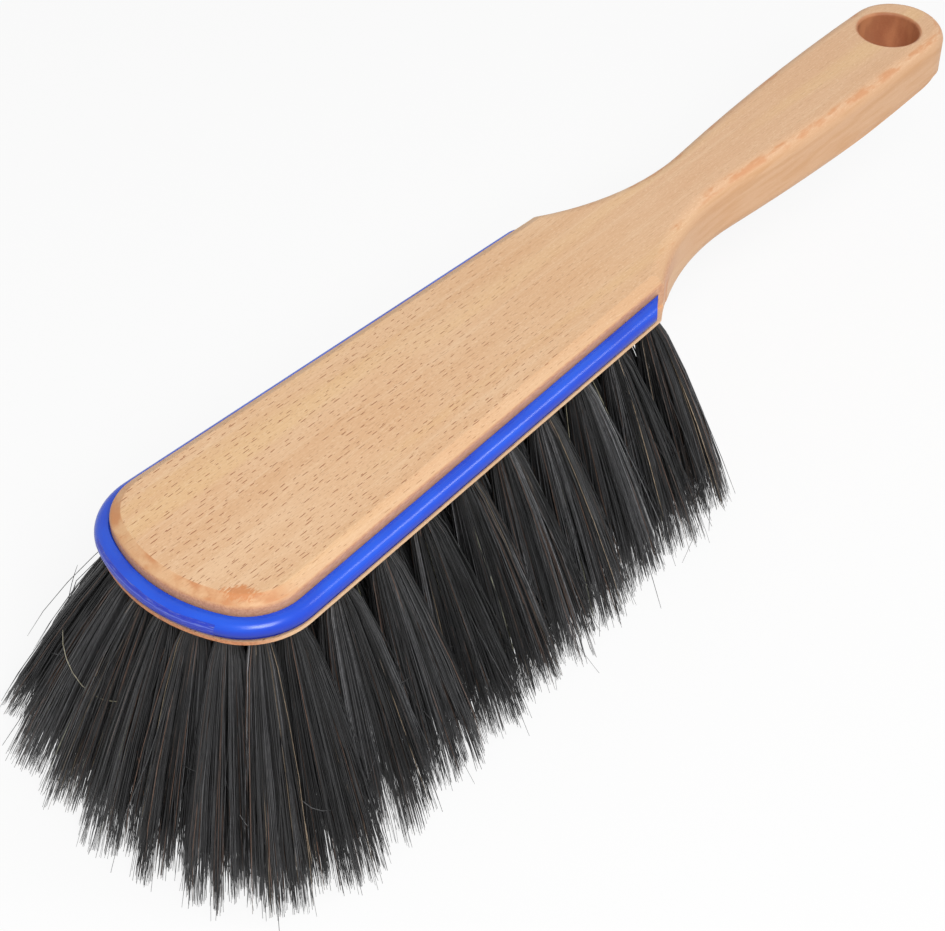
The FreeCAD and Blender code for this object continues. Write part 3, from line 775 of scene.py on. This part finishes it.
def strand_mesh(name, groups):
    """A mesh of hairs from groups of paths, radii and tones, with a cell of the map for each hair."""
    cells = math.ceil(math.sqrt(sum(len(paths) for paths, _, _ in groups)))
    points, walls, ends, tones, charts = [], [], [], [], []
    first_point = first_hair = 0
    for paths, radii, group_tones in groups:
        count, stations, _ = paths.shape
        group_walls, group_ends = tube_faces(count, stations)
        walls.append(group_walls + first_point)
        ends.append(group_ends + first_point)
        points.append(tube_points(paths, radii).reshape(-1, 3))
        colours = np.ones((count, stations, SIDES, 4), np.float32)
        colours[..., :3] = group_tones[:, :, None]
        tones.append(colours.reshape(-1, 4))
        hair = (first_hair + np.arange(count))[:, None, None]
        step = np.arange(stations)[None, :, None]
        corner = np.arange(SIDES)[None, None, :]
        u = (hair % cells + CELL_SIDE + CELL_STEP * corner) / cells
        v = (hair // cells + CELL_FOOT + CELL_LENGTH * step / (stations - 1)) / cells
        charts.append(np.stack(np.broadcast_arrays(u, v), -1).reshape(-1, 2))
        first_point += count * stations * SIDES
        first_hair += count
    walls, ends = np.concatenate(walls), np.concatenate(ends)
    loops = np.concatenate([walls.ravel(), ends.ravel()])
    starts = np.concatenate([np.arange(len(walls)) * 4, len(walls) * 4 + np.arange(len(ends)) * SIDES])

    mesh = bpy.data.meshes.new(name)
    mesh.vertices.add(first_point)
    mesh.vertices.foreach_set("co", np.concatenate(points).ravel())
    mesh.loops.add(len(loops))
    mesh.loops.foreach_set("vertex_index", loops)
    mesh.polygons.add(len(starts))
    mesh.polygons.foreach_set("loop_start", starts)
    mesh.polygons.foreach_set("use_smooth", np.ones(len(starts), bool))
    mesh.update(calc_edges=True)
    tone = mesh.color_attributes.new("hair_tone", "FLOAT_COLOR", "POINT")
    tone.data.foreach_set("color", np.concatenate(tones).ravel())
    chart = mesh.uv_layers.new(name="OFBake")
    chart.data.foreach_set("uv", np.concatenate(charts)[loops].astype(np.float32).ravel())
    return mesh


def grow_tufts(rows, count, fullness, splay, curls, seed):
    """Grow the hairs of every tuft whose name starts with one of rows, in place of its solid."""
    settings = bpy.context.scene.broom_hair
    material = bpy.data.materials.get(HAIR_MATERIAL) or hair_finish(settings)
    names = sorted(name for name in NODES if name.startswith(rows))
    if not names:
        raise RuntimeError("the frame has no tufts named %s" % (rows,))
    for order, name in enumerate(names):
        random = np.random.default_rng([seed, order])
        tuft = Tuft(name)
        groups = [strand_paths(tuft, count, fullness, splay, settings, random)]
        loose = random.integers(0, curls + 1)
        if loose:
            groups.append((curl_paths(tuft, loose, random), np.arange(loose)))
        strands = []
        for paths, lock in groups:
            hairs, stations, _ = paths.shape
            thickness = settings.diameter / 2 * random.uniform(*THICKNESS, hairs)
            taper = np.concatenate([np.ones(stations - len(TAPER)), TAPER])
            tones = strand_tones(hairs, stations, lock, settings, random)
            strands.append((paths, thickness[:, None] * taper[None], tones))
        piece = bpy.data.objects.new(name.replace("tuft", "hair"), strand_mesh(name, strands))
        bpy.context.scene.collection.objects.link(piece)
        paint(piece, material)
        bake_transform(piece)
        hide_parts(name)


# Sizes and colours that a user would change

def colour_setting(name, description, red, green, blue):
    """A colour, given as seen on a screen, 0 to 255."""
    return FloatVectorProperty(name=name, description=description, default=linear(red, green, blue),
                               subtype="COLOR", min=0, max=1)


def length_setting(name, description, default, least=0.0):
    """A length in metres."""
    return FloatProperty(name=name, description=description, default=default, min=least, unit="LENGTH")


def share_setting(name, description, default):
    """A share from 0 to 1."""
    return FloatProperty(name=name, description=description, default=default, subtype="FACTOR",
                         min=0, max=1)


def number_setting(name, description, default, least=0.0):
    """A plain number."""
    return FloatProperty(name=name, description=description, default=default, min=least)


def power_setting(name, description, default):
    """The power of a lamp in watts."""
    return FloatProperty(name=name, description=description, default=default, min=0, unit="POWER")


def count_setting(name, description, default, least):
    """A whole number."""
    return IntProperty(name=name, description=description, default=default, min=least)


class BeechSettings(bpy.types.PropertyGroup):
    light_wood: colour_setting("Light wood", "Pale streaks of the beech", 237, 198, 158)
    dark_wood: colour_setting("Dark wood", "Darker streaks of the beech", 228, 185, 143)
    fleck: colour_setting("Flecks", "Short ray flecks in the beech", 150, 80, 36)
    burnish: colour_setting("Burnish", "Edges scorched by the cutter", 212, 138, 84)
    fleck_spacing: length_setting("Fleck spacing", "Distance between flecks along the grain", 0.0043, 0.001)
    fleck_gap: length_setting("Fleck gap", "Distance between flecks across the grain", 0.0015, 0.0005)


class BumperSettings(bpy.types.PropertyGroup):
    colour: colour_setting("Colour", "Colour of the plastic", 17, 88, 228)
    deep_colour: colour_setting("Deep colour", "Darker clouds in the plastic", 11, 72, 212)


class AnchorSettings(bpy.types.PropertyGroup):
    colour: colour_setting("Colour", "Colour of the steel wire", 178, 180, 184)


class HairSettings(bpy.types.PropertyGroup):
    outer_hairs: count_setting("Outer hairs", "Hairs in each tuft of the outer rows", 820, 20)
    nose_hairs: count_setting("Nose hairs", "Hairs in each tuft of the nose", 840, 20)
    inner_hairs: count_setting("Inner hairs", "Hairs in each tuft inside the ring", 560, 20)
    diameter: length_setting("Diameter", "Diameter of a hair", 0.00025)
    fullness: number_setting("Fullness", "How far the hairs spread past the solid tuft's tips", 1.35, 0.2)
    inner_fullness: number_setting("Inner fullness", "The same for the tufts inside the ring", 1.6, 0.2)
    ragged: length_setting("Ragged tips", "How far the tips of the clumps differ in height", 0.0036)
    droop: length_setting("Droop", "How far the hairs bow outwards on their way down", 0.0012)
    splay: number_setting("Splay", "Below 1 the hairs spread soon after the hole", 0.6, 0.3)
    inner_splay: number_setting("Inner splay", "The same for the tufts inside the ring", 0.36, 0.3)
    wave: length_setting("Wave", "How far the hairs wave", 0.001)
    clumps: count_setting("Clumps", "Pointed clumps in each tuft", 14, 3)
    locks: count_setting("Locks", "Thin locks of hairs in each tuft", 80, 3)
    stray_share: share_setting("Strays", "Share of hairs that stand out", 0.03)
    short_share: share_setting("Short hairs", "Share of hairs that end early", 0.10)
    # Partly painted sheen: the lighter locks stand in for light caught by the hair
    lock_tone_and_sheen: number_setting("Lock contrast", "How far the tones of the locks differ", 0.75)
    hair_contrast: number_setting("Hair contrast", "How far the tones of the hairs differ", 0.5)
    brown_share: share_setting("Brown hairs", "Share of brown hairs", 0.06)
    pale_share: share_setting("Pale hairs", "Share of pale hairs", 0.012)
    black: colour_setting("Black", "Usual tone of the hair", 47, 47, 48)
    brown: colour_setting("Brown", "Tone of the brown hairs", 98, 76, 64)
    pale: colour_setting("Pale", "Tone of the pale hairs", 190, 168, 142)
    roughness: share_setting("Roughness", "Roughness of the hair", 0.36)


class StageSettings(bpy.types.PropertyGroup):
    key_power: power_setting("Key light", "Power of the softbox over the camera", 8.8)
    side_power: power_setting("Side light", "Power of the softbox behind the near side", 1.5)
    sky: number_setting("Fill light", "Strength of the even light all round", 0.36)
    lens: number_setting("Lens", "Focal length of the camera in millimetres", 83.627, 1.0)


# Operators, one for each piece or group of pieces

class BROOM_OT_beech(bpy.types.Operator):
    """Finish the wooden body as oiled beech"""
    bl_idname = "broom.beech"
    bl_label = "Beech body"

    def execute(self, context):
        paint(NODES["beech_body"], Beech(context.scene.broom_beech).material)
        return {"FINISHED"}


class BROOM_OT_bumper(bpy.types.Operator):
    """Finish the bumper strip as glossy blue plastic"""
    bl_idname = "broom.bumper"
    bl_label = "Bumper strip"

    def execute(self, context):
        paint(NODES["bumper_strip"], bumper_finish(context.scene.broom_bumper))
        return {"FINISHED"}


class BROOM_OT_anchors(bpy.types.Operator):
    """Finish the tuft anchors as drawn steel wire"""
    bl_idname = "broom.anchors"
    bl_label = "Tuft anchors"

    def execute(self, context):
        paint(NODES["tuft_anchors"], wire_finish(context.scene.broom_anchors))
        return {"FINISHED"}


class BROOM_OT_outer_tufts(bpy.types.Operator):
    """Grow the hair of the two outer rows"""
    bl_idname = "broom.outer_tufts"
    bl_label = "Outer rows"

    def execute(self, context):
        hair = context.scene.broom_hair
        rows = ("tuft_left_outer", "tuft_right_outer")
        grow_tufts(rows, hair.outer_hairs, hair.fullness, hair.splay, curls=3, seed=11)
        return {"FINISHED"}


class BROOM_OT_nose_tufts(bpy.types.Operator):
    """Grow the hair round the nose"""
    bl_idname = "broom.nose_tufts"
    bl_label = "Nose tufts"

    def execute(self, context):
        hair = context.scene.broom_hair
        rows = ("tuft_nose",)
        grow_tufts(rows, hair.nose_hairs, hair.fullness, hair.splay, curls=2, seed=23)
        return {"FINISHED"}


class BROOM_OT_inner_tufts(bpy.types.Operator):
    """Grow the hair of the inner rows and the middle row"""
    bl_idname = "broom.inner_tufts"
    bl_label = "Inner rows"

    def execute(self, context):
        hair = context.scene.broom_hair
        rows = ("tuft_left_inner", "tuft_right_inner", "tuft_middle")
        grow_tufts(rows, hair.inner_hairs, hair.inner_fullness, hair.inner_splay, curls=0, seed=37)
        return {"FINISHED"}


class BROOM_OT_stage(bpy.types.Operator):
    """Set up the pale floor, the soft light and the camera"""
    bl_idname = "broom.stage"
    bl_label = "Studio"

    def execute(self, context):
        settings = context.scene.broom_stage
        build_floor()
        build_light(settings)
        build_camera(settings)
        context.scene.view_settings.view_transform = "Standard"
        return {"FINISHED"}


# Studio, in metres and degrees

FLOOR_SIZE = 6.0
FLOOR_COLOUR = (0.95, 0.95, 0.95, 1.0)
FLOOR_ROUGHNESS = 0.9
# Share of plain white in what the camera sees of the floor: the rest keeps the shadow
FLOOR_GLOW = 0.86
# Softboxes: place and size, and the point that both face
KEY_PLACE = (-0.50, -0.62, 0.90)
KEY_SIZE = 0.5
SIDE_PLACE = (0.55, -0.55, 0.75)
SIDE_SIZE = 0.22
LIGHT_AIM = Vector((-0.04, 0.0, 0.05))
CAMERA_PLACE = (-0.394198, -0.304787, 0.467418)
CAMERA_TURN = (46.9803, -0.1836, -49.1739)
CAMERA_NEAR = 0.01
# Width of the camera's sensor in millimetres
SENSOR_WIDTH = 36.0


def seen_directly(tree):
    """1 on rays that come straight from the camera or by a mirror or glass, 0 on all others."""
    path = tree.nodes.new("ShaderNodeLightPath")
    total = path.outputs["Is Camera Ray"]
    for name in ("Is Glossy Ray", "Is Transmission Ray"):
        node = tree.nodes.new("ShaderNodeMath")
        node.operation = "MAXIMUM"
        tree.links.new(total, node.inputs[0])
        tree.links.new(path.outputs[name], node.inputs[1])
        total = node.outputs[0]
    return total


def mix_shaders(tree, share, first, second, output):
    """Send a mix of two shaders to the output node, by the share of the second."""
    mixed = tree.nodes.new("ShaderNodeMixShader")
    tree.links.new(share, mixed.inputs[0])
    tree.links.new(first.outputs[0], mixed.inputs[1])
    tree.links.new(second.outputs[0], mixed.inputs[2])
    tree.links.new(mixed.outputs[0], tree.nodes[output].inputs["Surface"])


def build_floor():
    """A white floor that shows as the background and keeps a soft shadow."""
    bpy.ops.object.select_all(action="DESELECT")
    bpy.ops.mesh.primitive_plane_add(size=FLOOR_SIZE, location=(0, 0, 0))
    floor = bpy.context.object
    floor.name = "floor"
    material = bpy.data.materials.new("floor_white")
    material.use_nodes = True
    tree = material.node_tree
    shader = tree.nodes["Principled BSDF"]
    shader.inputs["Base Color"].default_value = FLOOR_COLOUR
    shader.inputs["Roughness"].default_value = FLOOR_ROUGHNESS
    shader.inputs["Specular IOR Level"].default_value = 0.0
    glow = tree.nodes.new("ShaderNodeEmission")
    glow.inputs["Color"].default_value = WHITE
    glow.inputs["Strength"].default_value = 1.0
    share = tree.nodes.new("ShaderNodeMath")
    share.operation = "MULTIPLY"
    share.inputs[1].default_value = FLOOR_GLOW
    tree.links.new(seen_directly(tree), share.inputs[0])
    mix_shaders(tree, share.outputs[0], shader, glow, "Material Output")
    paint(floor, material)


def build_light(settings):
    """Even light all round, a softbox over the camera and a weaker one behind the near side."""
    world = bpy.data.worlds.new("studio")
    world.use_nodes = True
    tree = world.node_tree
    sky = tree.nodes["Background"]
    sky.inputs["Color"].default_value = WHITE
    sky.inputs["Strength"].default_value = settings.sky
    backdrop = tree.nodes.new("ShaderNodeBackground")
    backdrop.inputs["Color"].default_value = WHITE
    backdrop.inputs["Strength"].default_value = 1.0
    mix_shaders(tree, seen_directly(tree), sky, backdrop, "World Output")
    bpy.context.scene.world = world
    for name, place, size, power in (("key", KEY_PLACE, KEY_SIZE, settings.key_power),
                                     ("side", SIDE_PLACE, SIDE_SIZE, settings.side_power)):
        lamp = bpy.data.lights.new(name, "AREA")
        lamp.shape = "SQUARE"
        lamp.size = size
        lamp.energy = power
        holder = bpy.data.objects.new(name, lamp)
        holder.location = place
        holder.rotation_euler = (LIGHT_AIM - Vector(place)).to_track_quat("-Z", "Y").to_euler()
        bpy.context.scene.collection.objects.link(holder)


def build_camera(settings):
    """The camera where the photograph was taken from."""
    camera = bpy.data.cameras.new("camera")
    camera.lens = settings.lens
    camera.sensor_width = SENSOR_WIDTH
    camera.clip_start = CAMERA_NEAR
    holder = bpy.data.objects.new("camera", camera)
    holder.location = CAMERA_PLACE
    holder.rotation_euler = [math.radians(angle) for angle in CAMERA_TURN]
    bpy.context.scene.collection.objects.link(holder)
    bpy.context.scene.camera = holder


# Panel and registration

class BROOM_PT_panel(bpy.types.Panel):
    """The pieces of the broom and their settings"""
    bl_idname = "BROOM_PT_panel"
    bl_label = "Hand broom"
    bl_space_type = "VIEW_3D"
    bl_region_type = "UI"
    bl_category = "Broom"

    def draw(self, context):
        for operator in OPERATORS:
            self.layout.operator(operator.bl_idname)
        for name in SETTINGS:
            group = getattr(context.scene, name)
            box = self.layout.box()
            for key in group.bl_rna.properties.keys():
                if key not in ("rna_type", "name"):
                    box.prop(group, key)


SETTINGS = {"broom_beech": BeechSettings, "broom_bumper": BumperSettings, "broom_anchors": AnchorSettings,
            "broom_hair": HairSettings, "broom_stage": StageSettings}
OPERATORS = (BROOM_OT_beech, BROOM_OT_bumper, BROOM_OT_anchors, BROOM_OT_outer_tufts, BROOM_OT_nose_tufts,
             BROOM_OT_inner_tufts, BROOM_OT_stage)
CLASSES = (*SETTINGS.values(), *OPERATORS, BROOM_PT_panel)


def register():
    for item in CLASSES:
        bpy.utils.register_class(item)
    for name, group in SETTINGS.items():
        setattr(bpy.types.Scene, name, PointerProperty(type=group))


def unregister():
    for name in SETTINGS:
        delattr(bpy.types.Scene, name)
    for item in reversed(CLASSES):
        bpy.utils.unregister_class(item)


def main():
    register()
    bpy.ops.object.select_all(action="DESELECT")
    bpy.ops.broom.beech()
    bpy.ops.broom.bumper()
    bpy.ops.broom.anchors()
    bpy.ops.broom.outer_tufts()
    bpy.ops.broom.nose_tufts()
    bpy.ops.broom.inner_tufts()
    bpy.ops.broom.stage()


if __name__ == "__main__":
    main()
